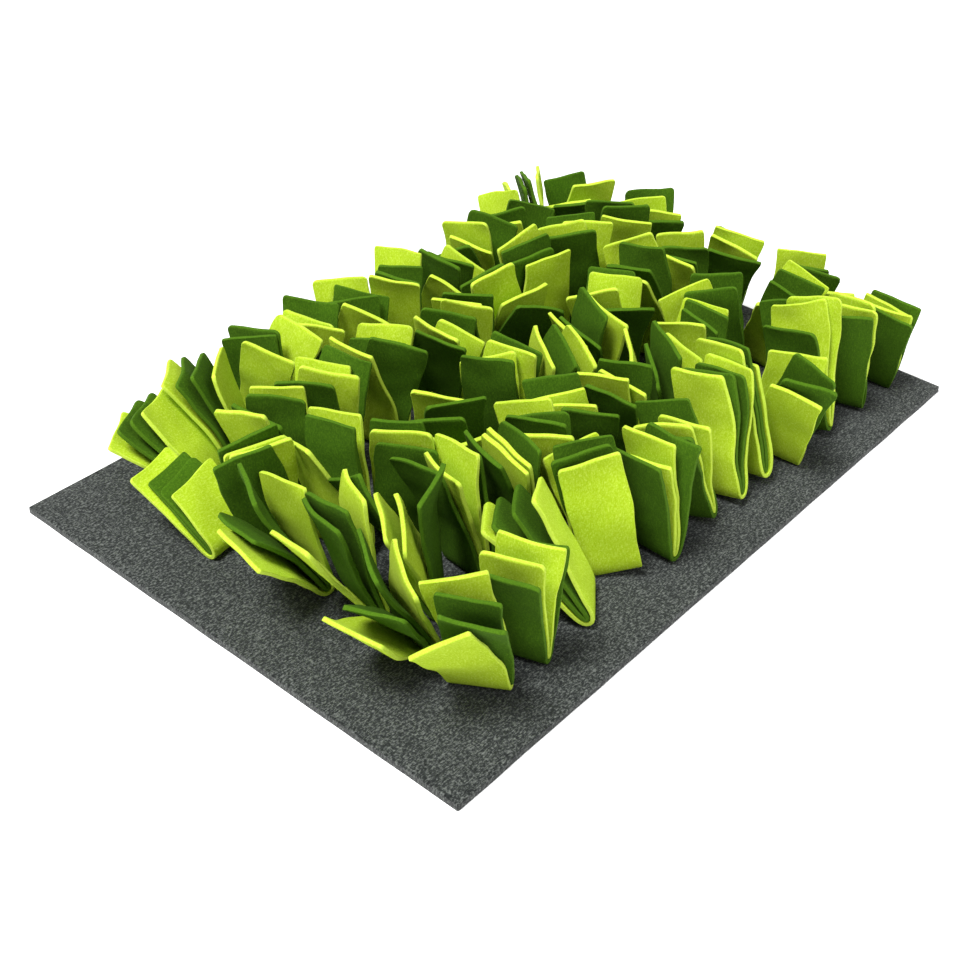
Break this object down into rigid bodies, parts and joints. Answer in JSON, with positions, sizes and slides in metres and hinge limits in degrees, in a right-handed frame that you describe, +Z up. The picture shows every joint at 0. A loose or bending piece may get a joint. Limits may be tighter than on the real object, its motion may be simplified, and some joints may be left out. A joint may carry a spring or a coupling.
{
  "type": "snuffle mat",
  "caption": "Pet snuffle mat: a flat rectangular charcoal felt base with rows of folded light and dark green felt strips standing up from it to hide treats.",
  "frame": {"origin": "centre of the base's underside, on the surface it lies on", "axes": "+X along the long side, +Y along the short side, +Z up through the strips"},
  "size_m": [0.45, 0.3053, 0.0864],
  "materials": {
    "base_felt": "matte heathered felt",
    "light_felt": "matte felt",
    "dark_felt": "matte felt"
  },
  "bodies": {
    "root": {"base": "base_felt", "tuft_a01": "light_felt", "tuft_a02": "dark_felt", "tuft_a03": "light_felt", "tuft_a04": "light_felt", "tuft_a05": "dark_felt", "tuft_a06": "dark_felt", "tuft_a07": "light_felt", "tuft_a08": "light_felt", "tuft_a09": "light_felt", "tuft_a10": "dark_felt", "tuft_a11": "dark_felt", "tuft_a12": "dark_felt", "tuft_b01": "light_felt", "tuft_b02": "light_felt", "tuft_b03": "dark_felt", "tuft_b04": "dark_felt", "tuft_b05": "dark_felt", "tuft_b06": "light_felt", "tuft_b07": "dark_felt", "tuft_b08": "dark_felt", "tuft_b09": "light_felt", "tuft_b10": "light_felt", "tuft_b11": "dark_felt", "tuft_b12": "light_felt", "tuft_b13": "light_felt", "tuft_c01": "light_felt", "tuft_c02": "dark_felt", "tuft_c03": "light_felt", "tuft_c04": "dark_felt", "tuft_c05": "light_felt", "tuft_c06": "dark_felt", "tuft_c07": "light_felt", "tuft_c08": "light_felt", "tuft_c09": "dark_felt", "tuft_c10": "light_felt", "tuft_c11": "light_felt", "tuft_c12": "dark_felt", "tuft_d01": "light_felt", "tuft_d02": "light_felt", "tuft_d03": "dark_felt", "tuft_d04": "light_felt", "tuft_d05": "dark_felt", "tuft_d06": "dark_felt", "tuft_d07": "dark_felt", "tuft_d08": "light_felt", "tuft_d09": "dark_felt", "tuft_d10": "light_felt", "tuft_d11": "dark_felt", "tuft_e01": "light_felt", "tuft_e02": "light_felt", "tuft_e03": "light_felt", "tuft_e04": "dark_felt", "tuft_e05": "light_felt", "tuft_e06": "light_felt", "tuft_e07": "light_felt", "tuft_e08": "dark_felt", "tuft_e09": "light_felt", "tuft_e10": "light_felt", "tuft_e11": "dark_felt"}
  },
  "joints": []
}
